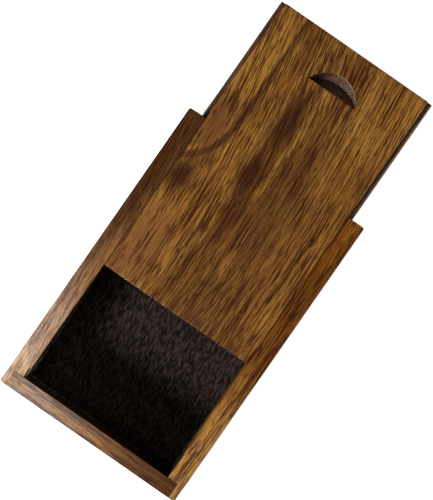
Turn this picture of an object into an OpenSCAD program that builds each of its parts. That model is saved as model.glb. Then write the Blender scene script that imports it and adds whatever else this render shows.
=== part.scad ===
// Sliding-lid wooden box: four glued boards, a bottom with a napped lining, and a lid that
// runs in grooves in the two long sides.
// +Y is the way the lid opens, +Z is up, and the origin is the middle of the underside.

/* [Box] */
// Outside width of the box, across the lid
box_w = 88; // [70:1:140]
// Outside length of the box, along the lid's travel
box_l = 138; // [100:1:220]
// Outside height of the box
box_h = 40; // [32:1:80]
// Thickness of the two long side boards
side_t = 8; // [6:0.5:12]
// Thickness of the two end boards
end_t = 7; // [5:0.5:12]
// Radius on the four upright outside corners
corner_r = 1.2; // [0.5:0.1:2]

/* [Corner joints] */
// Thickness of side board left outside the end board at each corner
corner_lip = 3; // [1.5:0.1:4]

/* [Floor] */
// Thickness of the bottom board
floor_t = 5; // [3:0.5:8]
// Depth of the rebate that holds the bottom board, into each wall
floor_seat = 3.5; // [2:0.5:4.5]
// Thickness of the napped lining
lining_t = 1; // [0.5:0.1:2]
// Gap between the lining's edge and the walls
lining_gap = 0.2; // [0.1:0.1:1]

/* [Lid] */
// Thickness of the lid
lid_t = 6; // [5:0.5:8]
// Thickness of the lid's tongues, up from its underside
tongue_t = 3; // [2:0.5:4]
// Reach of each side tongue beyond the lid's upper edge
tongue_w = 2.2; // [1:0.1:3]
// Overhang of the shut lid's outer end past the box
lid_overhang = 1; // [0:0.1:2]
// Bevel on the upper outer edge of each side tongue
tongue_bevel = 0.6; // [0.3:0.1:0.9]
// Distance that the lid is drawn open in the rest pose
lid_open = 57; // [0:1:60]

/* [Lid fit] */
// Gap at each side of the lid, at its upper edges and at its tongue tips
side_gap = 0.2; // [0.1:0.05:0.5]
// Gap above and below each tongue in its groove
groove_gap = 0.15; // [0.1:0.05:0.4]
// Gap between the lid's front edge and the stop wall when shut
front_gap = 0.2; // [0.1:0.05:0.5]

/* [Thumb notch] */
// Radius of the cutter that makes the notch
notch_r = 14.6; // [10:0.1:18]
// Lean of the cutter from upright, in degrees
notch_lean = 42; // [25:1:45]
// Length of the notch along the lid, from its straight edge to its crown
notch_l = 8.1; // [5:0.1:8.5]
// Distance from the lid's outer end to the notch's straight edge
notch_from_end = 20; // [15:0.5:30]
// Offset of the notch from the lid's centre line
notch_offset = 1.2; // [-3:0.1:3]

/* [Groove run-out] */
// Length of the small cut where the lid groove runs out at the stop wall, left side only
runout_l = 4.5; // [2:0.5:6]
// Depth of that cut into the side board
runout_w = 0.6; // [0.3:0.1:1.5]

/* [Hidden] */
$fn = 64;

// A little more than nothing, for cutters that run past the faces they cut.
past = 1;

inner_w = box_w - 2 * side_t;
inner_l = box_l - 2 * end_t;
end_board_w = box_w - 2 * corner_lip;
floor_w = inner_w + 2 * floor_seat;
floor_l = inner_l + 2 * floor_seat;

stop_face_y = end_t - box_l / 2;
entry_end_y = box_l / 2;

lid_under_z = box_h - lid_t;
tongue_top_z = lid_under_z + tongue_t;
entry_top_z = lid_under_z - groove_gap;
groove_h = tongue_t + 2 * groove_gap;
groove_depth = tongue_w;

lid_w = inner_w - 2 * side_gap;
lid_l = entry_end_y - stop_face_y - front_gap + lid_overhang;
tongue_span = lid_w + 2 * tongue_w;
lid_end_y = entry_end_y + lid_overhang + lid_open;

notch_slope = notch_l * cos(notch_lean);
cutter_h = 3 * notch_l;

// Box of the given size, centred on X and Y, standing on the given height.
module block(size_x, size_y, size_z, from_z = 0) {
    translate([-size_x / 2, -size_y / 2, from_z]) cube([size_x, size_y, size_z]);
}

// The whole box's outside, with its upright corners rounded.
module outside() {
    block(box_w - 2 * corner_r, box_l, box_h);
    block(box_w, box_l - 2 * corner_r, box_h);
    for (x = [-1, 1], y = [-1, 1]) {
        translate([x * (box_w / 2 - corner_r), y * (box_l / 2 - corner_r), 0]) {
            cylinder(r = corner_r, h = box_h);
        }
    }
}

// Space that the lid and its tongues run in, open at the entry end.
module lid_way() {
    way_l = box_l + past - end_t;
    translate([-inner_w / 2, stop_face_y, tongue_top_z]) {
        cube([inner_w, way_l, lid_t]);
    }
    translate([-inner_w / 2 - groove_depth, stop_face_y, entry_top_z]) {
        cube([inner_w + 2 * groove_depth, way_l, groove_h]);
    }
}

// Left side board: the lid groove, the floor rebate and a rebate at each end for the end boards.
module side_board() {
    difference() {
        intersection() {
            outside();
            translate([-box_w / 2, -box_l / 2, 0]) cube([side_t, box_l, box_h]);
        }
        block(floor_w, floor_l, floor_t);
        lid_way();
        translate([corner_lip - box_w / 2, -box_l / 2 - past, -past]) {
            cube([side_t, end_t + past, box_h + 2 * past]);
        }
        translate([corner_lip - box_w / 2, entry_end_y - end_t, -past]) {
            cube([side_t, end_t + past, entry_top_z + past]);
        }
    }
}

module side_left() {
    color([0.42, 0.27, 0.17]) difference() {
        side_board();
        translate([-inner_w / 2 - runout_w, stop_face_y, entry_top_z]) {
            cube([side_t, runout_l, lid_t + past]);
        }
    }
}

module side_right() {
    color([0.47, 0.30, 0.14]) mirror([1, 0, 0]) side_board();
}

// Full-height end board that the shut lid's front edge meets.
module stop_wall() {
    color([0.50, 0.36, 0.26]) difference() {
        translate([-end_board_w / 2, -box_l / 2, 0]) cube([end_board_w, end_t, box_h]);
        block(floor_w, floor_l, floor_t);
    }
}

// Low end board that the lid passes over.
module entry_wall() {
    color([0.44, 0.29, 0.16]) difference() {
        translate([-end_board_w / 2, entry_end_y - end_t, 0]) cube([end_board_w, end_t, entry_top_z]);
        block(floor_w, floor_l, floor_t);
    }
}

module floor_panel() {
    color([0.36, 0.23, 0.14]) block(floor_w, floor_l, floor_t);
}

module floor_lining() {
    color([0.06, 0.05, 0.05]) {
        block(inner_w - 2 * lining_gap, inner_l - 2 * lining_gap, lining_t, floor_t);
    }
}

// Cutter for the thumb notch, leaning so that its face slopes down from the straight edge.
module notch_cutter() {
    translate([notch_offset, lid_end_y - notch_from_end, box_h]) {
        rotate([-notch_lean, 0, 0]) {
            translate([0, notch_slope - notch_r, 0]) cylinder(r = notch_r, h = cutter_h);
        }
    }
}

// Outline of the lid across its width: the upper board and a bevelled tongue at each side.
module lid_section() {
    shoulder = lid_w / 2;
    tip = tongue_span / 2;
    bevel_z = tongue_t - tongue_bevel;
    polygon([
        [-tip, 0], [tip, 0], [tip, bevel_z], [tip - tongue_bevel, tongue_t], [shoulder, tongue_t],
        [shoulder, lid_t], [-shoulder, lid_t], [-shoulder, tongue_t], [tongue_bevel - tip, tongue_t],
        [-tip, bevel_z]
    ]);
}

module lid() {
    color([0.45, 0.28, 0.12]) difference() {
        translate([0, lid_end_y, lid_under_z]) {
            rotate([90, 0, 0]) linear_extrude(lid_l) lid_section();
        }
        notch_cutter();
    }
}

side_left();
side_right();
stop_wall();
entry_wall();
floor_panel();
floor_lining();
lid();
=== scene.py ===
"""A walnut box with a lid that slides in grooves: boards, lining, lid, table, lights and camera."""

import logging
import math
from dataclasses import dataclass, field
from enum import Enum
from typing import Callable, Sequence

import bmesh
import bpy
from mathutils import Matrix, Vector, noise


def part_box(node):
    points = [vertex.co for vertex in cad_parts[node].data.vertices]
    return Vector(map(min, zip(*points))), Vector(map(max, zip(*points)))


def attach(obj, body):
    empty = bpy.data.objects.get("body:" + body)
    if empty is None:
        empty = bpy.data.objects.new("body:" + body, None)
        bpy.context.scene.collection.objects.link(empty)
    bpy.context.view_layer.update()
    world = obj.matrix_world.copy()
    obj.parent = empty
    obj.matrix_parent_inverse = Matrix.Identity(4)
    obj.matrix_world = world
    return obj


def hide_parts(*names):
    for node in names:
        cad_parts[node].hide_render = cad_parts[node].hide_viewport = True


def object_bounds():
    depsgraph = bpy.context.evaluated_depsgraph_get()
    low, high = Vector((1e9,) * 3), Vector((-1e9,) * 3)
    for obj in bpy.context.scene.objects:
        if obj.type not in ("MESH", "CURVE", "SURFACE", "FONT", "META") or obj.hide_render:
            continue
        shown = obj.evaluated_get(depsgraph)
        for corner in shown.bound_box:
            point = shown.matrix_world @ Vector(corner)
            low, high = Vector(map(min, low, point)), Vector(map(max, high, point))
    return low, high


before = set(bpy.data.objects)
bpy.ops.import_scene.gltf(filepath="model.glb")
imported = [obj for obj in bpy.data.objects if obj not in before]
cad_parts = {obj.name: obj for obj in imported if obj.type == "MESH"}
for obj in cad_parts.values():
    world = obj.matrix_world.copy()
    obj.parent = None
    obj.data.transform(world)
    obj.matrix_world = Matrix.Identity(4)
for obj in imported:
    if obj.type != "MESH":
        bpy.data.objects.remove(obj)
CAD_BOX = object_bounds()

LOG = logging.getLogger("walnut_box")
MM = 0.001
EDGE_LAYER = "edge_kind"
CUT_LAYER = "cut_face"
WELD = 0.002 * MM  # corners nearer than this are joined
FLAT = math.radians(0.4)  # faces that bend less than this become one face
BEND = math.radians(25)  # edges that bend more than this are eased
EASED = 1  # the material slot that holds an eased edge's faces until the finish goes on
CLOSE = 0.1 * MM  # how near to a place an edge or a face still counts as there

Point = tuple[float, float, float]
Colour = tuple[float, float, float]


# ---------------------------------------------------------------- choices


class Grain(Enum):
    """Which way a board's fibres run."""

    ALONG_BOX = "y"
    ACROSS_BOX = "x"


class Arris(Enum):
    """How far an edge is eased, in millimetres."""

    CORNER = 1.2
    RUBBED = 0.3
    CRISP = 0.22
    GLUED = 0.14
    SHARP = 0.0


class EdgeKind(Enum):
    """What the narrow faces along an edge are, as the wood finish reads it."""

    NONE = 0.0
    # rubbed faces are painted paler: partly wear, partly a painted highlight
    RUBBED = 1.0
    GLUED = -1.0


# ---------------------------------------------------------------- bench work


def block(name: str, low: Sequence[float], high: Sequence[float]) -> bpy.types.Object:
    """Cuts a rectangular block.

    Args:
        name: the object's name.
        low: its lowest corner, in metres.
        high: its highest corner, in metres.

    Returns:
        The block, linked to the scene.
    """
    shape = bmesh.new()
    low_corner, high_corner = Vector(low), Vector(high)
    size = high_corner - low_corner
    place = Matrix.Translation((low_corner + high_corner) / 2) @ Matrix.Diagonal((*size, 1))
    bmesh.ops.create_cube(shape, size=1, matrix=place)
    return into_object(name, shape)


def prism(name: str, outline: Sequence[tuple[float, float]], start: float, end: float) -> bpy.types.Object:
    """Runs a board's cross-section along the box.

    Args:
        name: the object's name.
        outline: the section's corners as (x, z), in metres, in order.
        start: the lower end's y, in metres.
        end: the upper end's y, in metres.

    Returns:
        The closed solid, linked to the scene.
    """
    shape = bmesh.new()
    first = [shape.verts.new((x, start, z)) for x, z in outline]
    last = [shape.verts.new((x, end, z)) for x, z in outline]
    count = len(outline)
    for i in range(count):
        j = (i + 1) % count
        shape.faces.new((first[i], first[j], last[j], last[i]))
    shape.faces.new(first[::-1])
    shape.faces.new(last)
    bmesh.ops.recalc_face_normals(shape, faces=shape.faces)
    return into_object(name, shape)


def into_object(name: str, shape: bmesh.types.BMesh) -> bpy.types.Object:
    """Turns a bmesh into an object in the scene and frees it.

    Args:
        name: the object's and the mesh's name.
        shape: the geometry.

    Returns:
        The new object.
    """
    mesh = bpy.data.meshes.new(name)
    shape.to_mesh(mesh)
    shape.free()
    piece = bpy.data.objects.new(name, mesh)
    bpy.context.scene.collection.objects.link(piece)
    return piece


def settle(piece: bpy.types.Object) -> None:
    """Applies every modifier that the piece has.

    Args:
        piece: the object, which is left with the finished mesh and no modifiers.
    """
    graph = bpy.context.evaluated_depsgraph_get()
    mesh = bpy.data.meshes.new_from_object(piece.evaluated_get(graph))
    piece.modifiers.clear()
    piece.data = mesh


def carve(piece: bpy.types.Object, cutters: Sequence[bpy.types.Object]) -> None:
    """Cuts each cutter's shape out of the piece, and throws the cutters away.

    Args:
        piece: the board that is cut.
        cutters: closed solids.
    """
    for cutter in cutters:
        cut = piece.modifiers.new("cut", "BOOLEAN")
        cut.operation = "DIFFERENCE"
        cut.solver = "EXACT"
        cut.object = cutter
    settle(piece)
    for cutter in cutters:
        bpy.data.objects.remove(cutter)
    shape = bmesh.new()
    shape.from_mesh(piece.data)
    bmesh.ops.remove_doubles(shape, verts=shape.verts, dist=WELD)
    bmesh.ops.dissolve_limit(shape, angle_limit=FLAT, verts=shape.verts, edges=shape.edges)
    shape.to_mesh(piece.data)
    shape.free()


def ease(
    piece: bpy.types.Object,
    arris_at: Callable[[Vector, Vector], Arris],
    steps: int = 3,
) -> None:
    """Rounds the piece's edges and marks the narrow faces that this makes.

    Args:
        piece: the board, with its final outline.
        arris_at: says how an edge is eased, from its middle and its direction.
        steps: faces across each rounded edge.
    """
    shape = bmesh.new()
    shape.from_mesh(piece.data)
    weight = shape.edges.layers.float.new("bevel_weight_edge")
    for face in shape.faces:
        face.smooth = True
    for edge in shape.edges:
        if len(edge.link_faces) != 2 or edge.calc_face_angle(0) < BEND:
            continue
        middle = (edge.verts[0].co + edge.verts[1].co) / 2
        along = (edge.verts[1].co - edge.verts[0].co).normalized()
        arris = arris_at(middle, along)
        edge[weight] = arris.value / Arris.CORNER.value
        edge.smooth = arris is not Arris.SHARP
    shape.to_mesh(piece.data)
    shape.free()
    rounding = piece.modifiers.new("ease", "BEVEL")
    rounding.width = Arris.CORNER.value * MM
    rounding.segments = steps
    rounding.limit_method = "WEIGHT"
    rounding.use_clamp_overlap = False
    rounding.material = EASED
    settle(piece)
    sharpen(piece)
    shading = piece.modifiers.new("shading", "WEIGHTED_NORMAL")
    shading.keep_sharp = True
    settle(piece)
    mark_edges(piece)


def sharpen(piece: bpy.types.Object, sharpest: float = math.radians(38)) -> None:
    """Marks each edge where two faces still meet at a hard angle, so that shading breaks there.

    Args:
        piece: the board, with its edges rounded.
        sharpest: the angle between two faces above which their edge is hard.
    """
    shape = bmesh.new()
    shape.from_mesh(piece.data)
    for edge in shape.edges:
        if len(edge.link_faces) == 2 and edge.calc_face_angle(0) > sharpest:
            edge.smooth = False
    shape.to_mesh(piece.data)
    shape.free()


def mark_edges(piece: bpy.types.Object) -> None:
    """Writes which faces are eased edges: wide ones as rubbed, which the finish paints paler with a
    highlight, and hair-wide ones as glued.

    Args:
        piece: the board, whose eased faces have the second material slot.
    """
    mesh = piece.data
    kinds = mesh.attributes.new(EDGE_LAYER, "FLOAT", "FACE")
    narrow = 0.6 * Arris.GLUED.value * MM
    for face in mesh.polygons:
        kind = EdgeKind.NONE
        if face.material_index == EASED:
            corners = [mesh.vertices[i].co for i in face.vertices]
            sides = [(corners[i] - corners[i - 1]).length for i in range(len(corners))]
            kind = EdgeKind.GLUED if min(sides) < narrow else EdgeKind.RUBBED
        kinds.data[face.index].value = kind.value
        face.material_index = 0


def dress(piece: bpy.types.Object, material: bpy.types.Material) -> None:
    """Gives the whole piece one material."""
    piece.data.materials.clear()
    piece.data.materials.append(material)


# ---------------------------------------------------------------- patterns

Socket = bpy.types.NodeSocket
Value = float | bpy.types.NodeSocket


@dataclass(frozen=True)
class Figure:
    """A noise pattern: features per millimetre along each place it is read by, and its finer layers."""

    per_mm: Point
    detail: float = 1
    roughness: float = 0.5


@dataclass(frozen=True)
class Ramp:
    """A smooth step from low to high, with what comes out at each end."""

    low: float
    high: float
    to_low: float = 0
    to_high: float = 1


class Recipe:
    """Writes one material's nodes, a step at a time."""

    def __init__(self, name: str) -> None:
        """Starts an empty node material.

        Args:
            name: the material's name.
        """
        self.material = bpy.data.materials.new(name)
        self.material.use_nodes = True
        self.tree = self.material.node_tree
        self.tree.nodes.clear()

    def node(self, kind: str, **settings: object) -> bpy.types.Node:
        """Adds a node.

        Args:
            kind: the node's type, without its ShaderNode prefix.
            settings: attributes to set on it.

        Returns:
            The node.
        """
        made = self.tree.nodes.new("ShaderNode" + kind)
        for key, setting in settings.items():
            setattr(made, key, setting)
        return made

    def feed(self, target: Socket, value: Value | Colour) -> None:
        """Gives a node's input its value.

        Args:
            target: the input.
            value: a socket, which is linked to it, or a number or colour, which is set on it.
        """
        if isinstance(value, bpy.types.NodeSocket):
            self.tree.links.new(value, target)
        else:
            target.default_value = value

    def math(self, operation: str, *values: Value) -> Socket:
        """Adds one Math node.

        Args:
            operation: the operation's name.
            values: its inputs, in order.

        Returns:
            The result.
        """
        made = self.node("Math", operation=operation)
        for target, value in zip(made.inputs, values):
            self.feed(target, value)
        return made.outputs[0]

    def add(self, first: Value, *others: Value) -> Value:
        """Sums values.

        Args:
            first: a value.
            others: what is added to it.

        Returns:
            The sum.
        """
        total = first
        for value in others:
            total = self.math("ADD", total, value)
        return total

    def most(self, first: Value, *others: Value) -> Value:
        """Finds the largest of some values.

        Args:
            first: a value.
            others: what it is compared with.

        Returns:
            The largest.
        """
        top = first
        for value in others:
            top = self.math("MAXIMUM", top, value)
        return top

    def times(self, first: Value, second: Value) -> Socket:
        """Multiplies two values."""
        return self.math("MULTIPLY", first, second)

    def less(self, first: Value, second: Value) -> Socket:
        """Takes the second value from the first."""
        return self.math("SUBTRACT", first, second)

    def blend(self, value: Value, ramp: Ramp) -> Socket:
        """Maps a value smoothly along a ramp, and holds it beyond both ends.

        Args:
            value: what is mapped.
            ramp: where the ramp starts and ends.

        Returns:
            The mapped value.
        """
        made = self.node("MapRange", interpolation_type="SMOOTHSTEP")
        ends = (ramp.low, ramp.high, ramp.to_low, ramp.to_high)
        for target, number in zip(made.inputs, (value, *ends)):
            self.feed(target, number)
        return made.outputs[0]

    def noise(self, places: Sequence[Value], figure: Figure) -> Socket:
        """Adds smooth noise.

        Args:
            places: the three places that it is read by, in millimetres.
            figure: its pattern.

        Returns:
            The noise, from 0 to 1.
        """
        joined = self.node("CombineXYZ")
        for target, place, number in zip(joined.inputs, places, figure.per_mm):
            self.feed(target, self.times(place, number))
        made = self.node("TexNoise")
        self.feed(made.inputs["Vector"], joined.outputs[0])
        made.inputs["Scale"].default_value = 1
        made.inputs["Detail"].default_value = figure.detail
        made.inputs["Roughness"].default_value = figure.roughness
        return made.outputs[0]

    def mix(self, share: Value, first: Colour | Socket, second: Colour | Socket) -> Socket:
        """Mixes two colours.

        Args:
            share: the share of the second one.
            first: a colour.
            second: another.

        Returns:
            The mixed colour.
        """
        made = self.node("Mix", data_type="RGBA", clamp_factor=True)
        self.feed(made.inputs[0], share)
        for target, colour in ((made.inputs[6], first), (made.inputs[7], second)):
            self.feed(target, colour if isinstance(colour, bpy.types.NodeSocket) else (*colour, 1))
        return made.outputs[2]

    def face_value(self, layer: str) -> Socket:
        """Reads a number that the mesh holds for each face."""
        return self.node("Attribute", attribute_name=layer).outputs["Fac"]

    def place_mm(self, shift: Point = (0, 0, 0)) -> tuple[Socket, Socket, Socket]:
        """Reads the place on the piece.

        Args:
            shift: what is added to x, y and z, in millimetres.

        Returns:
            The shifted x, y and z, in millimetres.
        """
        split = self.node("SeparateXYZ")
        self.feed(split.inputs[0], self.node("TexCoord").outputs["Object"])
        x, y, z = (
            self.math("MULTIPLY_ADD", split.outputs[i], 1 / MM, shift[i]) for i in range(3)
        )
        return x, y, z

    def raise_surface(self, shader: bpy.types.Node, height: Value, strength: float, depth: float) -> None:
        """Gives the shader a fine relief.

        Args:
            shader: the surface's shader.
            height: the relief's height, from low to high.
            strength: how strongly it shows.
            depth: what a height of 1 measures, in metres.
        """
        bump = self.node("Bump")
        bump.inputs["Strength"].default_value = strength
        bump.inputs["Distance"].default_value = depth
        self.feed(bump.inputs["Height"], height)
        self.feed(shader.inputs["Normal"], bump.outputs[0])

    def surface(self, shader: bpy.types.Node) -> bpy.types.Material:
        """Makes the shader the material's surface, and returns the material."""
        self.feed(self.node("OutputMaterial").inputs["Surface"], shader.outputs[0])
        return self.material


# ---------------------------------------------------------------- how wood grows and wears, and the light and shade painted on it


@dataclass
class Spot:
    """Where a board's finish is read, in millimetres: by the board, by the grain and by its layers."""

    x: Socket
    y: Socket
    z: Socket
    along: Socket
    across: Socket
    layers: Value = 0
    slanted: Value = 0

    def fibre(self) -> tuple[Value, Socket, Socket]:
        """The places that a pattern of the fibres is read by."""
        return self.slanted, self.along, self.z


@dataclass(frozen=True)
class Lean:
    """How lines lean across a board, left and right of a stretch, straightening towards the foot."""

    left: float = 0.06
    right: float = 0.06
    start: float = -10
    end: float = 12
    foot: float = 0
    reach: float = 130

    def bent(self, r: Recipe, spot: Spot) -> Socket:
        """Bends the place across the board as the lines lean.

        Args:
            r: the recipe.
            spot: where it is read.

        Returns:
            The bent place across the board.
        """
        share = r.blend(spot.across, Ramp(self.start, self.end, self.left, self.right))
        above = r.add(spot.along, -self.foot)
        bow = r.times(r.times(above, above), 0.5 / self.reach)
        return r.math("MULTIPLY_ADD", bow, share, spot.across)


@dataclass(frozen=True)
class Swirl:
    """Growth layers that spread away from a line across the board, over a stretch along it."""

    line: float
    start: float
    end: float
    share: float

    def spread(self, r: Recipe, spot: Spot) -> Socket:
        """Finds how far the layers are spread.

        Args:
            r: the recipe.
            spot: where it is read.

        Returns:
            What is added to the place across the layers.
        """
        beyond = r.math("MINIMUM", r.add(spot.across, -self.line), 0)
        turned = r.blend(spot.along, Ramp(self.start, self.end, 0, self.share))
        return r.times(r.times(beyond, turned), -1)


@dataclass(frozen=True)
class Stripes:
    """Growth stripes, from layers that slope into the board. Lengths are in millimetres."""

    width: float = 2.6
    contrast: Ramp = Ramp(0.40, 0.60)
    slope: float = math.radians(18)
    face_height: float = 40
    slant: Lean = Lean(0, 0)
    swirl: Swirl | None = None
    wander: float = 2.2
    drift: Figure = Figure((1 / 46, 1 / 16, 1 / 20), detail=2)
    wide: Figure = Figure((1 / 2.4, 1 / 170, 1 / 80))
    fine: Figure = Figure((1, 1 / 80, 1 / 60), detail=2, roughness=0.6)

    def layers(self, r: Recipe, spot: Spot) -> Socket:
        """Finds the place across the growth layers, bent and wandering as the tree grew.

        Args:
            r: the recipe.
            spot: where it is read.

        Returns:
            The place across the layers, which is the place across the board where they are straight.
        """
        below = r.add(spot.z, -self.face_height)
        layers = r.math("MULTIPLY_ADD", below, math.tan(self.slope), self.slant.bent(r, spot))
        if self.swirl:
            layers = r.add(layers, self.swirl.spread(r, spot))
        drift = r.add(r.noise((spot.along, spot.across, spot.z), self.drift), -0.5)
        return r.math("MULTIPLY_ADD", drift, 2 * self.wander, layers)

    def tone(self, r: Recipe, spot: Spot) -> Socket:
        """Draws the stripes, which are of two widths.

        Args:
            r: the recipe.
            spot: where it is read.

        Returns:
            1 on light wood and 0 on dark.
        """
        places = (r.times(spot.layers, 1 / self.width), spot.along, spot.z)
        both = r.add(r.noise(places, self.wide), r.noise(places, self.fine))
        return r.blend(r.times(both, 0.5), self.contrast)


@dataclass(frozen=True)
class Lines:
    """Long dark lines along the grain, which crowd together in places."""

    slant: Lean = Lean()
    fineness: float = 1
    strength: float = 0.85
    threshold: float = 0.722
    crowded: float = 0.38
    quieted: float = 0.06
    edge: float = 0.05
    streaks: Figure = Figure((1.55, 0.040, 1.55), detail=2)
    crowding: Figure = Figure((0.40, 0.012, 0.40))

    def streaked(self, r: Recipe, spot: Spot) -> Socket:
        """Gives the streaks that the lines follow, from 0 to 1."""
        return r.noise((r.times(spot.slanted, self.fineness), spot.along, spot.z), self.streaks)

    def share(self, r: Recipe, spot: Spot, streaks: Socket, quiet: Socket) -> Socket:
        """Draws the lines.

        Args:
            r: the recipe.
            spot: where it is read.
            streaks: the streaks that they follow.
            quiet: how quiet the wood is, from 0 to 1.

        Returns:
            How dark the lines are, from 0 to their strength.
        """
        crowd = r.noise(spot.fibre(), self.crowding)
        threshold = r.add(self.threshold, r.times(crowd, -self.crowded), r.times(quiet, self.quieted))
        return r.blend(r.less(streaks, threshold), Ramp(0, self.edge, 0, self.strength))


@dataclass(frozen=True)
class Pores:
    """Open pores: thin dashes along the grain, long and short, some joined into rows."""

    depth: float = 0.85
    threshold: float = 0.663
    crowded: float = 0.16
    quieted: float = 0.06
    rows_quieted: float = 0.12
    long_ones: Figure = Figure((2.3, 0.105, 2.3))
    short_ones: Figure = Figure((3.2, 0.20, 3.2))
    crowding: Figure = Figure((0.22, 0.030, 0.22))
    rows: Figure = Figure((0.50, 0.012, 0.50), detail=2)
    long_edge: Ramp = Ramp(0, 0.06)
    short_edge: Ramp = Ramp(0, 0.05, 0, 0.8)
    row_edge: Ramp = Ramp(0.008, 0.045, 0.9, 0)
    joining: Ramp = Ramp(0.36, 0.58)

    def share(self, r: Recipe, spot: Spot, quiet: Socket) -> Value:
        """Opens the pores.

        Args:
            r: the recipe.
            spot: where it is read.
            quiet: how quiet the wood is, from 0 to 1.

        Returns:
            1 in an open pore and 0 on closed wood.
        """
        long_ones = r.noise(spot.fibre(), self.long_ones)
        short_ones = r.noise(spot.fibre(), self.short_ones)
        crowd = r.noise(spot.fibre(), self.crowding)
        threshold = r.add(self.threshold, r.times(crowd, -self.crowded), r.times(quiet, self.quieted))
        long_open = r.blend(r.less(long_ones, threshold), self.long_edge)
        short_open = r.blend(r.less(short_ones, threshold), self.short_edge)
        off_row = r.math("ABSOLUTE", r.add(r.noise(spot.fibre(), self.rows), -0.5))
        joined = r.blend(r.less(long_ones, r.times(quiet, self.rows_quieted)), self.joining)
        return r.most(long_open, short_open, r.times(r.blend(off_row, self.row_edge), joined))


@dataclass(frozen=True)
class Band:
    """A dark mineral band that runs with the growth layers. Lengths are in millimetres."""

    centre: float
    width: float
    strength: float
    start: float = -400
    end: float = 400
    fade: float = 12
    core: float = 0.15
    broken: Ramp = Ramp(0.30, 0.58, 0.55, 1)

    def share(self, r: Recipe, spot: Spot, ragged: Socket) -> Socket:
        """Draws the band.

        Args:
            r: the recipe.
            spot: where it is read.
            ragged: noise that makes its edges ragged.

        Returns:
            How dark the band is, from 0 to its strength.
        """
        jitter = r.times(r.add(ragged, -0.5), self.width)
        away = r.math("ABSOLUTE", r.add(spot.layers, -self.centre, jitter))
        share = r.blend(away, Ramp(self.width * self.core, self.width, self.strength, 0))
        for ramp in (
            Ramp(self.start, self.start + self.fade),
            Ramp(self.end - self.fade, self.end, 1, 0),
        ):
            share = r.times(share, r.blend(spot.along, ramp))
        return r.times(share, r.blend(ragged, self.broken))


@dataclass(frozen=True)
class Patch:
    """A soft oval patch of another tone of wood. Lengths are in millimetres."""

    across: float
    along: float
    half_width: float
    half_length: float
    strength: float
    raggedness: float = 0.9
    solid_to: float = 0.7
    gone_by: float = 1.8

    def share(self, r: Recipe, spot: Spot, ragged: Socket) -> Socket:
        """Draws the patch.

        Args:
            r: the recipe.
            spot: where it is read.
            ragged: noise that makes its edge ragged.

        Returns:
            How far it covers the wood, from 0 to its strength.
        """
        u = r.times(r.add(spot.across, -self.across), 1 / self.half_width)
        v = r.times(r.add(spot.along, -self.along), 1 / self.half_length)
        away = r.math("SQRT", r.math("MULTIPLY_ADD", u, u, r.times(v, v)))
        worn_away = r.math("MULTIPLY_ADD", ragged, self.raggedness, away)
        return r.blend(worn_away, Ramp(self.solid_to, self.gone_by, self.strength, 0))


@dataclass(frozen=True)
class Marks:
    """Marks of one tone on a board: patches, and bands that run with the growth layers."""

    patches: tuple[Patch, ...] = ()
    bands: tuple[Band, ...] = ()
    patch_edges: Figure = Figure((0.25, 0.06, 1), detail=3)
    band_edges: Figure = Figure((0.55, 0.05, 1), detail=3, roughness=0.65)
    patch_level: float = 7
    band_level: float = 0

    def share(self, r: Recipe, spot: Spot) -> Value:
        """Draws all the marks.

        Args:
            r: the recipe.
            spot: where it is read.

        Returns:
            How far they cover the wood, from 0 to 1.
        """
        covered: list[Value] = []
        if self.patches:
            ragged = r.noise((spot.across, spot.along, self.patch_level), self.patch_edges)
            covered += [patch.share(r, spot, ragged) for patch in self.patches]
        if self.bands:
            ragged = r.noise((spot.layers, spot.along, self.band_level), self.band_edges)
            covered += [band.share(r, spot, ragged) for band in self.bands]
        return r.most(0, *covered)


@dataclass(frozen=True)
class EdgeWearAndHighlight:
    """Eased edges: pale in places, partly worn by rubbing and partly a painted highlight, or a dark hair
    line where two boards are glued.
    """

    rubbed_and_highlit: Colour = (0.420, 0.240, 0.090)
    patchiness: Figure = Figure((0.5, 0.5, 0.5), detail=3)
    rubbing_and_highlight: Ramp = Ramp(0.35, 0.60, 0.15, 0.75)
    dirt: float = 0.85
    roughness: float = 0.28

    def over(self, r: Recipe, spot: Spot, edge: Socket, wood: Socket, grime: Colour) -> Socket:
        """Wears the wood's edges, and paints a highlight on the rubbed ones.

        Args:
            r: the recipe.
            spot: where it is read.
            edge: which kind of edge a face is, as EdgeKind has it.
            wood: the wood's colour.
            grime: the colour of a glued edge's hair line.

        Returns:
            The wood's colour, worn and with its painted edge highlight.
        """
        patchy = r.noise((spot.x, spot.y, spot.z), self.patchiness)
        # rubbed edges turn paler in patches: partly wear, partly a painted highlight along the eased edge
        worn_and_highlit = r.times(r.most(edge, 0), r.blend(patchy, self.rubbing_and_highlight))
        dirty = r.times(r.most(r.times(edge, -1), 0), self.dirt)
        return r.mix(dirty, r.mix(worn_and_highlit, wood, self.rubbed_and_highlit), grime)


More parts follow.
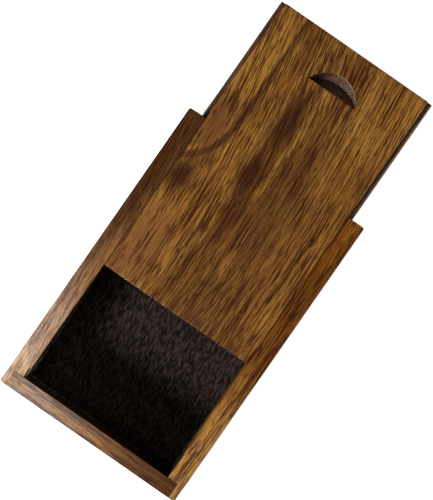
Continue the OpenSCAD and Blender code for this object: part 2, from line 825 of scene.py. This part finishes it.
@dataclass(frozen=True)
class RawCutWithShade:
    """End grain that a cutter left raw and torn, with painted shade that makes it darker low down and to
    the left.
    """

    light: Colour = (0.210, 0.095, 0.0420)
    # the near-black dark colour is painted shade, between the torn fibres and low down and to the left in
    # the notch
    dark: Colour = (0.008, 0.0030, 0.0016)
    tearing: Figure = Figure((1.5, 2.4, 3.2), detail=4, roughness=0.75)
    torn: Ramp = Ramp(0.47, 0.56)
    shaded_low_down: Ramp = Ramp(35, 39.6, 0.85, 0.1)
    shaded_leftwards: Ramp = Ramp(-9, 2, 1, 0)
    roughness: float = 0.17
    relief: float = 3

    def tears(self, r: Recipe, spot: Spot) -> Socket:
        """Gives how the fibres stand up, from 0 to 1."""
        return r.noise((spot.x, spot.y, spot.z), self.tearing)

    def colour(self, r: Recipe, spot: Spot, tears: Socket) -> Socket:
        """Mixes the raw wood's colour, with painted shade low down and to the left.

        Args:
            r: the recipe.
            spot: where it is read.
            tears: how the fibres stand up.

        Returns:
            The colour.
        """
        # painted shade: darker deep in the notch and towards its left; only the torn fibres outside it are
        # painted lit
        sunk = r.most(r.blend(spot.z, self.shaded_low_down), r.blend(spot.x, self.shaded_leftwards))
        lit = r.times(r.blend(tears, self.torn), r.less(1, sunk))
        return r.mix(lit, self.dark, self.light)


@dataclass(frozen=True)
class LowDarkening:
    """Wood made darker with the smoke colour below a height, less so towards the right, and rougher there.
    Lengths are in millimetres.
    """

    below: float
    edge: float = 0.4
    cover: Ramp = Ramp(-30, 30, 0.75, 0.4)
    roughness: float = 0.2

    def reach(self, r: Recipe, spot: Spot) -> Socket:
        """Gives 1 below the height, where the wood is darkened, and 0 above."""
        return r.blend(spot.z, Ramp(self.below, self.below + self.edge, 1, 0))


# ---------------------------------------------------------------- finishes


@dataclass(frozen=True)
class Walnut:
    """Oiled walnut with open pores. Lengths are in millimetres, colours are linear."""

    name: str
    grain: Grain
    shift: Point = (0, 0, 0)
    light: Colour = (0.350, 0.157, 0.0280)
    dark: Colour = (0.200, 0.078, 0.0110)
    tint: Colour = (0.210, 0.080, 0.0120)
    line: Colour = (0.042, 0.0060, 0.0010)
    pore: Colour = (0.024, 0.0040, 0.0008)
    smoke: Colour = (0.032, 0.0095, 0.0020)
    golden: Colour = (0.400, 0.190, 0.0310)
    rose: Colour = (0.165, 0.062, 0.0190)
    stripes: Stripes = Stripes()
    lines: Lines = Lines()
    pores: Pores = Pores()
    smoky_marks: Marks = Marks()
    rosy_marks: Marks = Marks()
    golden_marks: Marks = Marks()
    tinting: Figure = Figure((1 / 60, 1 / 18, 1 / 30), detail=2)
    tinted: Ramp = Ramp(0.44, 0.66, 0, 0.35)
    quieting: Ramp = Ramp(0.35, 0.80, 0, 0.8)
    smoke_in_streaks: Ramp = Ramp(0.34, 0.58, 0.8, 1)
    edge_wear_and_highlight: EdgeWearAndHighlight = EdgeWearAndHighlight()
    raw_cut_with_shade: RawCutWithShade = RawCutWithShade()
    low_darkening: LowDarkening | None = None
    gloss: float = 0.14
    relief: float = 0.6
    relief_depth: float = 0.07 * MM
    line_relief: float = 0.7
    refraction: float = 1.47

    def material(self) -> bpy.types.Material:
        """Writes the finish.

        Returns:
            The material.
        """
        r = Recipe(self.name)
        spot = self._spot(r)
        rosy = self.rosy_marks.share(r, spot)
        quiet = r.blend(rosy, self.quieting)
        streaks = self.lines.streaked(r, spot)
        lined = self.lines.share(r, spot, streaks, quiet)
        pores = self.pores.share(r, spot, quiet)
        edge, cut = r.face_value(EDGE_LAYER), r.face_value(CUT_LAYER)
        tears = self.raw_cut_with_shade.tears(r, spot)

        colour = self._ground(r, spot, rosy, streaks)
        colour = r.mix(lined, colour, self.line)
        colour = r.mix(r.times(pores, self.pores.depth), colour, self.pore)
        rough = r.add(
            self.gloss,
            r.times(cut, self.raw_cut_with_shade.roughness),
            r.times(r.math("ABSOLUTE", edge), self.edge_wear_and_highlight.roughness),
        )
        # below the tongues' height the wood is coloured darker, more on the left, and made rougher
        if self.low_darkening:
            darkened = self.low_darkening.reach(r, spot)
            cover = r.times(darkened, r.blend(spot.x, self.low_darkening.cover))
            colour = r.mix(cover, colour, self.smoke)
            rough = r.add(rough, r.times(darkened, self.low_darkening.roughness))
        # eased edges: paler where rubbed, partly a painted highlight; a dark hair line where glued
        colour = self.edge_wear_and_highlight.over(r, spot, edge, colour, self.pore)
        # the notch's raw cut wood, with its painted shade
        colour = r.mix(cut, colour, self.raw_cut_with_shade.colour(r, spot, tears))
        sunk = r.add(pores, r.times(lined, self.line_relief))
        height = r.less(r.times(r.times(cut, tears), self.raw_cut_with_shade.relief), sunk)

        shader = r.node("BsdfPrincipled")
        r.feed(shader.inputs["Base Color"], colour)
        r.feed(shader.inputs["Roughness"], rough)
        shader.inputs["IOR"].default_value = self.refraction
        r.raise_surface(shader, height, self.relief, self.relief_depth)
        return r.surface(shader)

    def _spot(self, r: Recipe) -> Spot:
        """Reads the place on the board, by the board and by its grain.

        Args:
            r: the recipe.

        Returns:
            The place.
        """
        x, y, z = r.place_mm(self.shift)
        along, across = (y, x) if self.grain is Grain.ALONG_BOX else (x, y)
        spot = Spot(x, y, z, along, across)
        spot.layers = self.stripes.layers(r, spot)
        spot.slanted = self.lines.slant.bent(r, spot)
        return spot

    def _ground(self, r: Recipe, spot: Spot, rosy: Value, streaks: Socket) -> Socket:
        """Colours the wood under its lines and pores: stripes, tints and patches.

        Args:
            r: the recipe.
            spot: where it is read.
            rosy: how rosy the wood is, from 0 to 1.
            streaks: the streaks along the grain.

        Returns:
            The colour.
        """
        colour = r.mix(self.stripes.tone(r, spot), self.dark, self.light)
        broad = r.noise((spot.along, spot.across, spot.z), self.tinting)
        colour = r.mix(r.blend(broad, self.tinted), colour, self.tint)
        colour = r.mix(self.golden_marks.share(r, spot), colour, self.golden)
        colour = r.mix(rosy, colour, self.rose)
        smoky = r.times(self.smoky_marks.share(r, spot), r.blend(streaks, self.smoke_in_streaks))
        return r.mix(smoky, colour, self.smoke)


@dataclass(frozen=True)
class NappedCloth:
    """Near-black cloth with a short brushed nap that lies along the box, its tuft tops painted lit and its
    hollows painted in shade.
    """

    name: str = "napped_lining"
    shaded_hollows: Colour = (0.0030, 0.0022, 0.0018)
    lit: Colour = (0.0400, 0.0265, 0.0208)
    lean: float = 0.12
    tufts: Figure = Figure((1.1, 0.30, 1), detail=2, roughness=0.6)
    hairs: Figure = Figure((4.5, 0.75, 1), detail=3, roughness=0.7)
    tuft_share: float = 0.6
    lighting: Ramp = Ramp(0.42, 0.62)
    dullness: Ramp = Ramp(0.3, 0.7, 0.95, 0.75)
    shine: float = 0.06
    sheen: float = 0.04
    sheen_roughness: float = 0.4
    relief: float = 0.8
    relief_depth: float = 0.25 * MM

    def material(self) -> bpy.types.Material:
        """Writes the finish.

        Returns:
            The material.
        """
        r = Recipe(self.name)
        x, y, z = r.place_mm()
        places = (r.math("MULTIPLY_ADD", y, self.lean, x), y, z)
        tufts, hairs = r.noise(places, self.tufts), r.noise(places, self.hairs)
        height = r.add(r.times(tufts, self.tuft_share), r.times(hairs, 1 - self.tuft_share))
        shader = r.node("BsdfPrincipled")
        # high tufts are painted lit and the low hollows between them are painted in shade
        r.feed(shader.inputs["Base Color"], r.mix(r.blend(height, self.lighting), self.shaded_hollows, self.lit))
        r.feed(shader.inputs["Roughness"], r.blend(hairs, self.dullness))
        shader.inputs["Specular IOR Level"].default_value = self.shine
        shader.inputs["Sheen Weight"].default_value = self.sheen
        shader.inputs["Sheen Roughness"].default_value = self.sheen_roughness
        r.raise_surface(shader, height, self.relief, self.relief_depth)
        return r.surface(shader)


@dataclass(frozen=True)
class PaleTable:
    """A plain white table top, which glows a little so that shadows on it stay faint."""

    name: str = "pale_table"
    colour: Colour = (0.90, 0.90, 0.90)
    roughness: float = 0.9
    glow: float = 0.92

    def material(self) -> bpy.types.Material:
        """Writes the finish.

        Returns:
            The material.
        """
        r = Recipe(self.name)
        shader = r.node("BsdfPrincipled")
        shader.inputs["Base Color"].default_value = (*self.colour, 1)
        shader.inputs["Roughness"].default_value = self.roughness
        shader.inputs["Specular IOR Level"].default_value = 0
        shader.inputs["Emission Color"].default_value = (1, 1, 1, 1)
        shader.inputs["Emission Strength"].default_value = self.glow
        return r.surface(shader)


# ---------------------------------------------------------------- the box


@dataclass
class Sizes:
    """The joinery's sizes that the model's boxes don't give, in metres."""

    lip: float = 3.0 * MM
    floor_seat: float = 3.5 * MM
    tongue_t: float = 3.0 * MM
    tongue_w: float = 2.2 * MM
    tongue_bevel: float = 0.6 * MM
    groove_gap: float = 0.15 * MM
    runout_l: float = 4.5 * MM
    runout_w: float = 0.6 * MM
    past: float = 1.0 * MM

    def inner_x(self) -> float:
        """Half the width between the side boards."""
        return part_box("side_right")[0].x

    def under_lid(self) -> float:
        """Height of the lid's underside."""
        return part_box("lid")[0].z

    def floor_top(self) -> float:
        """Height of the bottom board's upper face."""
        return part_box("floor_panel")[1].z


def near(value: float, target: float, slack: float = 0.05 * MM) -> bool:
    """True if the two lengths are the same but for the slack."""
    return abs(value - target) < slack


def runs_along(share: float, least: float = 0.9) -> bool:
    """True if an edge's direction has nearly all of its length along one axis."""
    return abs(share) > least


@dataclass
class SideBoard:
    """A long side: lid groove, floor rebate, and a rebate at each end for the end boards."""

    node: str
    side: int
    finish: Walnut
    has_runout: bool = False
    sizes: Sizes = field(default_factory=Sizes)

    def build(self) -> bpy.types.Object:
        """Cuts the board, eases its edges and finishes it.

        Returns:
            The board.
        """
        low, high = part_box(self.node)
        s, side = self.sizes, self.side
        outer = high.x if side > 0 else low.x
        inner = side * s.inner_x()
        ledge = s.under_lid() - s.groove_gap
        lip_under = s.under_lid() + s.tongue_t + s.groove_gap
        groove_x = inner + side * s.tongue_w
        seat_x = inner + side * s.floor_seat
        outline = [
            (outer, low.z), (seat_x, low.z), (seat_x, s.floor_top()), (inner, s.floor_top()),
            (inner, ledge), (groove_x, ledge), (groove_x, lip_under), (inner, lip_under),
            (inner, high.z), (outer, high.z),
        ]
        board = prism(self.node + "_board", outline, low.y, high.y)
        carve(board, self._cutters(low, high, outer, ledge))
        ease(board, lambda middle, along: self._arris(middle, along, low, high, outer, ledge))
        dress(board, self.finish.material())
        return board

    def _cutters(self, low: Vector, high: Vector, outer: float, ledge: float) -> list[bpy.types.Object]:
        """Makes the cutters for the end rebates and, on one board, the groove's run-out.

        Args:
            low: the board's lowest corner.
            high: its highest corner.
            outer: x of its outer face.
            ledge: height of the groove's lower face.

        Returns:
            The cutters, in place.
        """
        s, side = self.sizes, self.side
        stop_y, entry_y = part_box("stop_wall")[1].y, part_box("entry_wall")[0].y
        inside = side * (s.inner_x() - s.past)
        above = high.z + s.past
        near_x, far_x = sorted((outer - side * s.lip, inside))
        cutters = [
            block("cut_stop", (near_x, low.y - s.past, -s.past), (far_x, stop_y, above)),
            block("cut_entry", (near_x, entry_y, -s.past), (far_x, high.y + s.past, ledge)),
        ]
        if self.has_runout:
            near_x, far_x = sorted((side * (s.inner_x() + s.runout_w), inside))
            end_y = stop_y + s.runout_l
            cutters.append(block("cut_runout", (near_x, stop_y - s.past, ledge), (far_x, end_y, above)))
        return cutters

    def _arris(
        self, middle: Vector, along: Vector, low: Vector, high: Vector, outer: float, ledge: float
    ) -> Arris:
        """Says how an edge is eased: rubbed outside, hair-wide where boards are glued.

        Args:
            middle: the edge's middle.
            along: its direction.
            low: the board's lowest corner.
            high: its highest corner.
            outer: x of its outer face.
            ledge: height of the groove's lower face.

        Returns:
            The easing.
        """
        at_end = near(middle.y, low.y) or near(middle.y, high.y)
        if runs_along(along.z) and at_end and near(middle.x, outer):
            return Arris.CORNER
        shoulder = outer - self.side * self.sizes.lip
        by_stop = middle.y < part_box("stop_wall")[1].y + CLOSE
        against_stop = by_stop and not near(middle.x, outer) and not near(middle.y, low.y)
        if near(middle.x, shoulder) or against_stop:
            return Arris.GLUED
        if near(middle.z, high.z) or near(middle.x, outer):
            return Arris.RUBBED
        if near(middle.y, high.y) and middle.z > ledge - CLOSE:
            return Arris.CRISP
        return Arris.GLUED


@dataclass
class EndBoard:
    """An end of the box, let into the side boards."""

    node: str
    finish: Walnut
    sizes: Sizes = field(default_factory=Sizes)

    def build(self) -> bpy.types.Object:
        """Cuts the board, eases its edges and finishes it.

        Returns:
            The board.
        """
        low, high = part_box(self.node)
        s = self.sizes
        board = block(self.node + "_board", low, high)
        inward = -1 if high.y > 0 else 1
        face_y = low.y if inward < 0 else high.y
        seat_x = s.inner_x() + s.floor_seat
        ys = sorted((face_y - inward * s.floor_seat, face_y + inward * s.past))
        carve(board, [block("cut_seat", (-seat_x, ys[0], -s.past), (seat_x, ys[1], s.floor_top()))])
        ease(board, lambda middle, along: self._arris(middle, along, high.z, face_y))
        dress(board, self.finish.material())
        return board

    def _arris(self, middle: Vector, along: Vector, top: float, face_y: float) -> Arris:
        """Says how an edge is eased: the long upper ones are rubbed, the glued ones are hair-wide.

        Args:
            middle: the edge's middle.
            along: its direction.
            top: height of the board's upper face.
            face_y: y of its inner face.

        Returns:
            The easing.
        """
        lengthwise = runs_along(along.x)
        if near(middle.z, top) and lengthwise:
            return Arris.RUBBED
        if lengthwise and near(middle.y, face_y) and middle.z > self.sizes.floor_top() + MM:
            return Arris.CRISP
        return Arris.GLUED


@dataclass
class BottomBoard:
    """The bottom, set into the walls' rebates and flush with the underside."""

    node: str
    finish: Walnut

    def build(self) -> bpy.types.Object:
        """Cuts the board, eases its edges and finishes it.

        Returns:
            The board.
        """
        low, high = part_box(self.node)
        board = block(self.node + "_board", low, high)
        ease(board, lambda middle, along: Arris.GLUED)
        dress(board, self.finish.material())
        return board


@dataclass(frozen=True)
class Tufts:
    """Tufts of one size: how many to a millimetre, how they lean, and their share of the nap's height."""

    across: float
    along: float
    lean: float
    level: float
    share: float

    def height(self, x: float, y: float) -> float:
        """Gives their height at a place in millimetres, above or below their middle."""
        place = Vector((x * self.across + y * self.lean, y * self.along, self.level))
        return self.share * noise.noise(place)


@dataclass
class Lining:
    """The cloth on the floor, a thin sheet whose nap stands in soft tufts that lie along the box."""

    node: str
    finish: NappedCloth
    pitch: float = 0.55 * MM
    tuft_height: float = 0.32 * MM
    middle: float = 0.5
    coarse: Tufts = Tufts(across=0.9, along=0.22, lean=0.10, level=3, share=0.55)
    hairs: Tufts = Tufts(across=2.1, along=0.50, lean=0.25, level=9, share=0.35)
    facing_up: float = 0.3

    def build(self) -> bpy.types.Object:
        """Lays the sheet, raises its nap and finishes it.

        Returns:
            The sheet.
        """
        low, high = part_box(self.node)
        size = high - low
        columns, rows = round(size.x / self.pitch), round(size.y / self.pitch)
        shape = bmesh.new()
        place = Matrix.Translation(((low.x + high.x) / 2, (low.y + high.y) / 2, high.z))
        bmesh.ops.create_grid(
            shape, x_segments=columns, y_segments=rows, size=0.5,
            matrix=place @ Matrix.Diagonal((size.x, size.y, 1, 1)),
        )
        for vert in shape.verts:
            vert.co.z -= self.tuft_height * (1 - self._nap(vert.co))
        # The skirt is built edge by edge, because an extrusion puts its faces in no fixed order.
        rim = [edge for edge in shape.edges if edge.is_boundary]
        corners = [vert for vert in shape.verts if vert.is_boundary]
        foot = {vert: shape.verts.new((vert.co.x, vert.co.y, low.z)) for vert in corners}
        for edge in rim:
            first, second = edge.verts
            shape.faces.new((first, second, foot[second], foot[first]))
        open_edges = [edge for edge in shape.edges if edge.is_boundary]
        bmesh.ops.contextual_create(shape, geom=open_edges)
        bmesh.ops.recalc_face_normals(shape, faces=shape.faces)
        sheet = into_object(self.node + "_cloth", shape)
        for face in sheet.data.polygons:
            face.use_smooth = abs(face.normal.z) > self.facing_up
        dress(sheet, self.finish.material())
        return sheet

    def _nap(self, place: Vector) -> float:
        """Finds how high the nap stands.

        Args:
            place: a place on the sheet, in metres.

        Returns:
            The height, from 0 to 1.
        """
        x, y = place.x / MM, place.y / MM
        height = self.middle + self.coarse.height(x, y) + self.hairs.height(x, y)
        return max(0.0, min(1.0, height))


# ---------------------------------------------------------------- the lid


@dataclass
class Notch:
    """The half-moon thumb notch, cut by a leaning cutter. Lengths are in metres."""

    radius: float = 14.6 * MM
    lean: float = math.radians(42)
    length: float = 8.1 * MM
    from_end: float = 20.0 * MM
    offset: float = 1.2 * MM
    sides: int = 160
    skin: float = 0.01 * MM

    def straight_y(self, lid_end: float) -> float:
        """Place of the notch's straight edge along the box."""
        return lid_end - self.from_end

    def cutter(self, lid_end: float, lid_top: float) -> bpy.types.Object:
        """Makes the cutter's solid.

        Args:
            lid_end: y of the lid's outer end.
            lid_top: height of the lid's upper face.

        Returns:
            The cutter, in place.
        """
        height = 3 * self.length
        slope = self.length * math.cos(self.lean)
        shape = bmesh.new()
        place = (
            Matrix.Translation((self.offset, self.straight_y(lid_end), lid_top))
            @ Matrix.Rotation(-self.lean, 4, "X")
            @ Matrix.Translation((0, slope - self.radius, height / 2))
        )
        bmesh.ops.create_cone(
            shape, cap_ends=True, segments=self.sides,
            radius1=self.radius, radius2=self.radius, depth=height, matrix=place,
        )
        return into_object("cut_notch", shape)

    def holds(self, point: Vector, lid_end: float, lid_top: float) -> bool:
        """Tells the notch's own faces, below the lid's upper face, from the rest of the lid's.

        Args:
            point: a face's middle.
            lid_end: y of the lid's outer end.
            lid_top: height of the lid's upper face.

        Returns:
            True if it is a face of the notch.
        """
        start = self.straight_y(lid_end)
        inside = start - CLOSE < point.y < start + self.length + CLOSE
        below = lid_top - self.length < point.z < lid_top - self.skin
        return inside and below and abs(point.x - self.offset) < self.radius


@dataclass
class SlidingLid:
    """The lid: a board with a bevelled tongue at both sides and a thumb notch."""

    node: str
    finish: Walnut
    notch: Notch = field(default_factory=Notch)
    sizes: Sizes = field(default_factory=Sizes)
    margin: float = 6 * MM
    tips: float = 0.25

    def build(self) -> bpy.types.Object:
        """Cuts the lid, eases its edges and finishes it.

        Returns:
            The lid.
        """
        low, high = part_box(self.node)
        s = self.sizes
        tip, shoulder = high.x, high.x - s.tongue_w
        tongue_top = low.z + s.tongue_t
        bevel_foot = tongue_top - s.tongue_bevel
        half = [
            (tip, low.z), (tip, bevel_foot), (tip - s.tongue_bevel, tongue_top),
            (shoulder, tongue_top), (shoulder, high.z),
        ]
        outline = half + [(-x, z) for x, z in reversed(half)]
        lid = prism("sliding_lid", outline, low.y, high.y)
        carve(lid, [self.notch.cutter(high.y, high.z)])
        ease(lid, lambda middle, along: self._arris(middle, low, high))
        self._mark_notch(lid, high)
        dress(lid, self.finish.material())
        return lid

    def _arris(self, middle: Vector, low: Vector, high: Vector) -> Arris:
        """Says how an edge is eased: the upper board's are rubbed, the tongues' are crisp.

        Args:
            middle: the edge's middle.
            low: the lid's lowest corner.
            high: its highest corner.

        Returns:
            The easing.
        """
        start = self.notch.straight_y(high.y)
        in_notch = start - 2 * CLOSE < middle.y < start + self.notch.length + 2 * CLOSE
        inland = abs(middle.x) < high.x - self.margin
        if in_notch and inland and middle.z > high.z - self.notch.length:
            return self._rim_arris(middle, start, high.z)
        if near(middle.z, high.z):
            return Arris.RUBBED
        if near(middle.z, low.z) or near(middle.y, high.y):
            return Arris.CRISP
        return Arris.SHARP

    def _rim_arris(self, middle: Vector, start: float, top: float) -> Arris:
        """Eases the notch's rim, but not its straight edge, its foot or its two thin tips.

        Args:
            middle: the edge's middle.
            start: y of the notch's straight edge.
            top: height of the lid's upper face.

        Returns:
            The easing.
        """
        past_tips = middle.y > start + self.tips * self.notch.length
        on_rim = near(middle.z, top, 2 * self.notch.skin) and past_tips
        return Arris.CRISP if on_rim else Arris.SHARP

    def _mark_notch(self, lid: bpy.types.Object, high: Vector) -> None:
        """Writes which faces are the notch's raw cut wood.

        Args:
            lid: the lid, with its edges eased.
            high: its highest corner.
        """
        marks = lid.data.attributes.new(CUT_LAYER, "FLOAT", "FACE")
        for face in lid.data.polygons:
            marks.data[face.index].value = float(self.notch.holds(face.center, high.y, high.z))


# ---------------------------------------------------------------- table, lights and camera


@dataclass
class Lamp:
    """A round soft light. Angles are in degrees, lengths in metres."""

    name: str
    azimuth: float
    elevation: float
    size: float
    power: float
    distance: float = 1.3
    colour: Colour = (1, 1, 1)

    def hang(self, target: Vector) -> None:
        """Hangs the light and points it at the target.

        Args:
            target: the place that it lights.
        """
        light = bpy.data.lights.new(self.name, "AREA")
        light.shape = "DISK"
        light.size = self.size
        light.energy = self.power
        light.color = self.colour
        lamp = bpy.data.objects.new(self.name, light)
        a, e = math.radians(self.azimuth), math.radians(self.elevation)
        out = Vector((math.cos(a) * math.cos(e), math.sin(a) * math.cos(e), math.sin(e)))
        lamp.location = target + out * self.distance
        lamp.rotation_mode = "QUATERNION"
        lamp.rotation_quaternion = out.to_track_quat("Z", "Y")
        bpy.context.scene.collection.objects.link(lamp)


@dataclass
class Studio:
    """The table, the lights and the camera, which looks straight down."""

    table: PaleTable = field(default_factory=PaleTable)
    table_half: float = 2.0
    camera_height: float = 1.2
    camera_turn: float = 34.83
    camera_over: tuple[float, float] = (-1.2 * MM, 26.7 * MM)
    lens: float = 208.8
    nearest: float = 0.05
    sky: float = 0.04
    lamps: tuple[Lamp, ...] = (
        Lamp("key", azimuth=246, elevation=40, size=0.32, power=25),
        Lamp("gloss", azimuth=239.7, elevation=71.0, size=0.153, power=0.44, distance=0.5),
        Lamp("fill_right", azimuth=20, elevation=35, size=1.0, power=3, distance=1.6),
    )

    def build(self) -> None:
        """Sets the table, the lights, the camera and the plain view colours."""
        low, high = CAD_BOX
        self._lay_table(low.z)
        target = Vector((0, (low.y + high.y) / 2, high.z))
        for lamp in self.lamps:
            lamp.hang(target)
        self._light_sky()
        self._stand_camera(high.z)
        bpy.context.scene.view_settings.view_transform = "Standard"

    def _lay_table(self, height: float) -> None:
        """Lays the table top under the box.

        Args:
            height: the table's height.
        """
        half = self.table_half
        shape = bmesh.new()
        bmesh.ops.create_grid(
            shape, x_segments=1, y_segments=1, size=half, matrix=Matrix.Translation((0, 0, height))
        )
        top = into_object("table_top", shape)
        dress(top, self.table.material())

    def _light_sky(self) -> None:
        """Sets the even light that comes from all round."""
        world = bpy.data.worlds.new("studio_sky")
        world.use_nodes = True
        background = world.node_tree.nodes["Background"]
        background.inputs["Color"].default_value = (1, 1, 1, 1)
        background.inputs["Strength"].default_value = self.sky
        bpy.context.scene.world = world

    def _stand_camera(self, top: float) -> None:
        """Stands the camera over the box, turned so that the box lies aslant in the picture.

        Args:
            top: height of the box's upper edges.
        """
        data = bpy.data.cameras.new("camera")
        data.lens = self.lens
        data.clip_start = self.nearest
        camera = bpy.data.objects.new("camera", data)
        camera.location = (*self.camera_over, top + self.camera_height)
        camera.rotation_euler = (0, 0, math.radians(self.camera_turn))
        bpy.context.scene.collection.objects.link(camera)
        bpy.context.scene.camera = camera


# ---------------------------------------------------------------- the whole job

LID_WOOD = Walnut(
    name="walnut_of_lid",
    grain=Grain.ALONG_BOX,
    stripes=Stripes(
        width=2.4,
        wander=0.9,
        slant=Lean(0, 0.10),
        swirl=Swirl(line=-12, start=73, end=39, share=0.68),
    ),
    lines=Lines(slant=Lean(0.24, 0.14), fineness=1.3),
    smoky_marks=Marks(bands=(
        Band(centre=-23.6, width=2.4, strength=0.9, start=38, fade=8),
        Band(centre=-10.5, width=4.0, strength=0.4),
        Band(centre=-17.5, width=1.2, strength=0.45, start=70),
        Band(centre=8.5, width=1.6, strength=0.5, end=50),
    ), patches=(
        Patch(across=-32, along=44, half_width=8, half_length=9.5, strength=1.0),
        Patch(across=-17, along=36, half_width=6, half_length=24, strength=0.28),
        Patch(across=-31, along=68, half_width=7, half_length=17, strength=0.3),
        Patch(across=-7.0, along=87, half_width=6.5, half_length=20, strength=1.0),
        Patch(across=-7.5, along=61, half_width=6.5, half_length=15, strength=1.0),
        Patch(across=-4, along=42, half_width=7, half_length=15, strength=0.8),
        Patch(across=-9, along=14, half_width=3.8, half_length=15, strength=0.6),
        Patch(across=9, along=56, half_width=11, half_length=52, strength=0.7),
        Patch(across=9, along=4, half_width=20, half_length=34, strength=0.48),
        Patch(across=-26, along=58, half_width=3, half_length=8, strength=0.6),
        Patch(across=-31, along=52, half_width=5, half_length=3.5, strength=0.6),
        Patch(across=0, along=118, half_width=14, half_length=11, strength=0.4),
    )),
    rosy_marks=Marks((
        Patch(across=-31, along=67, half_width=6.5, half_length=16, strength=0.8),
        Patch(across=-28, along=12, half_width=13, half_length=24, strength=0.7),
        Patch(across=14, along=20, half_width=24, half_length=50, strength=0.34),
    )),
    golden_marks=Marks((
        Patch(across=-29, along=100, half_width=10, half_length=26, strength=0.75),
        Patch(across=24, along=104, half_width=10, half_length=18, strength=0.5),
        Patch(across=-19, along=66, half_width=7, half_length=24, strength=0.3),
        Patch(across=34, along=30, half_width=7, half_length=40, strength=0.5),
    )),
    # the tongues, below 37.3 mm, are coloured darker
    low_darkening=LowDarkening(below=37.3),
)
# the side boards' edges are painted paler more evenly: partly wear, partly a painted highlight
SIDE_EDGE_WEAR_AND_HIGHLIGHT = EdgeWearAndHighlight(rubbing_and_highlight=Ramp(0.35, 0.60, 0.5, 1))
LEFT_WOOD = Walnut(
    name="walnut_of_left_side",
    grain=Grain.ALONG_BOX,
    shift=(17, 210, 0),
    light=(0.335, 0.152, 0.0400),
    dark=(0.200, 0.084, 0.0240),
    # the golden colour and its patch at the stop end's foot are partly lighter wood and partly painted
    # sheen
    golden=(0.450, 0.235, 0.0900),
    lines=Lines(fineness=1.7, strength=0.55),
    smoky_marks=Marks((Patch(across=-23, along=262, half_width=40, half_length=62, strength=0.88),)),
    golden_marks=Marks((Patch(across=-23, along=148, half_width=40, half_length=14, strength=1.0),)),
    edge_wear_and_highlight=SIDE_EDGE_WEAR_AND_HIGHLIGHT,
    relief=0.36,
)
RIGHT_WOOD = Walnut(
    name="walnut_of_right_side",
    grain=Grain.ALONG_BOX,
    shift=(0, 40, 0),
    light=(0.350, 0.128, 0.0070),
    dark=(0.170, 0.054, 0.0040),
    smoky_marks=Marks(
        patches=(Patch(across=39, along=60, half_width=40, half_length=50, strength=0.15),),
        bands=(Band(centre=40.6, width=0.9, strength=0.6, end=90),),
    ),
    golden_marks=Marks((Patch(across=39, along=-22, half_width=40, half_length=54, strength=0.85),)),
    edge_wear_and_highlight=SIDE_EDGE_WEAR_AND_HIGHLIGHT,
)
STOP_WOOD = Walnut(
    name="walnut_of_stop_wall",
    grain=Grain.ACROSS_BOX,
    shift=(80, 0, 30),
    light=(0.300, 0.120, 0.0150),
    dark=(0.170, 0.064, 0.0090),
    stripes=Stripes(width=1.3),
    lines=Lines(fineness=1.7),
    smoky_marks=Marks((
        Patch(across=-65, along=118, half_width=40, half_length=33, strength=0.85),
        Patch(across=-65, along=52, half_width=40, half_length=6, strength=0.30),
    )),
    relief=0.27,
)
ENTRY_WOOD = Walnut(name="walnut_of_entry_wall", grain=Grain.ACROSS_BOX, shift=(10, 300, 70))
BOTTOM_WOOD = Walnut(
    name="walnut_of_bottom", grain=Grain.ALONG_BOX, shift=(130, 400, 20), stripes=Stripes(width=4)
)

BOX_PIECES = (
    (SideBoard("side_left", -1, LEFT_WOOD, has_runout=True), "walnut_side_left"),
    (SideBoard("side_right", 1, RIGHT_WOOD), "walnut_side_right"),
    (EndBoard("stop_wall", STOP_WOOD), "walnut_stop_wall"),
    (EndBoard("entry_wall", ENTRY_WOOD), "walnut_entry_wall"),
    (BottomBoard("floor_panel", BOTTOM_WOOD), "walnut_floor"),
    (Lining("floor_lining", NappedCloth()), "dark_lining"),
)
LID_PIECES = ((SlidingLid("lid", LID_WOOD), "walnut_lid"),)


def place(maker: SideBoard | EndBoard | BottomBoard | Lining | SlidingLid, slot: str, body: str) -> None:
    """Builds one piece and hangs it on its body in place of the plain solid.

    Args:
        maker: the sub-assembly that builds it.
        slot: not used.
        body: the body that it moves with.
    """
    piece = maker.build()
    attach(piece, body)
    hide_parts(maker.node)
    LOG.info("%s: %d faces, rides on %s", piece.name, len(piece.data.polygons), body)


def main() -> None:
    """Builds the studio, the box and the lid."""
    logging.basicConfig(level=logging.INFO, format="%(name)s: %(message)s")
    Studio().build()
    for maker, slot in BOX_PIECES:
        place(maker, slot, "box")
    for maker, slot in LID_PIECES:
        place(maker, slot, "lid")


if __name__ == "__main__":
    main()
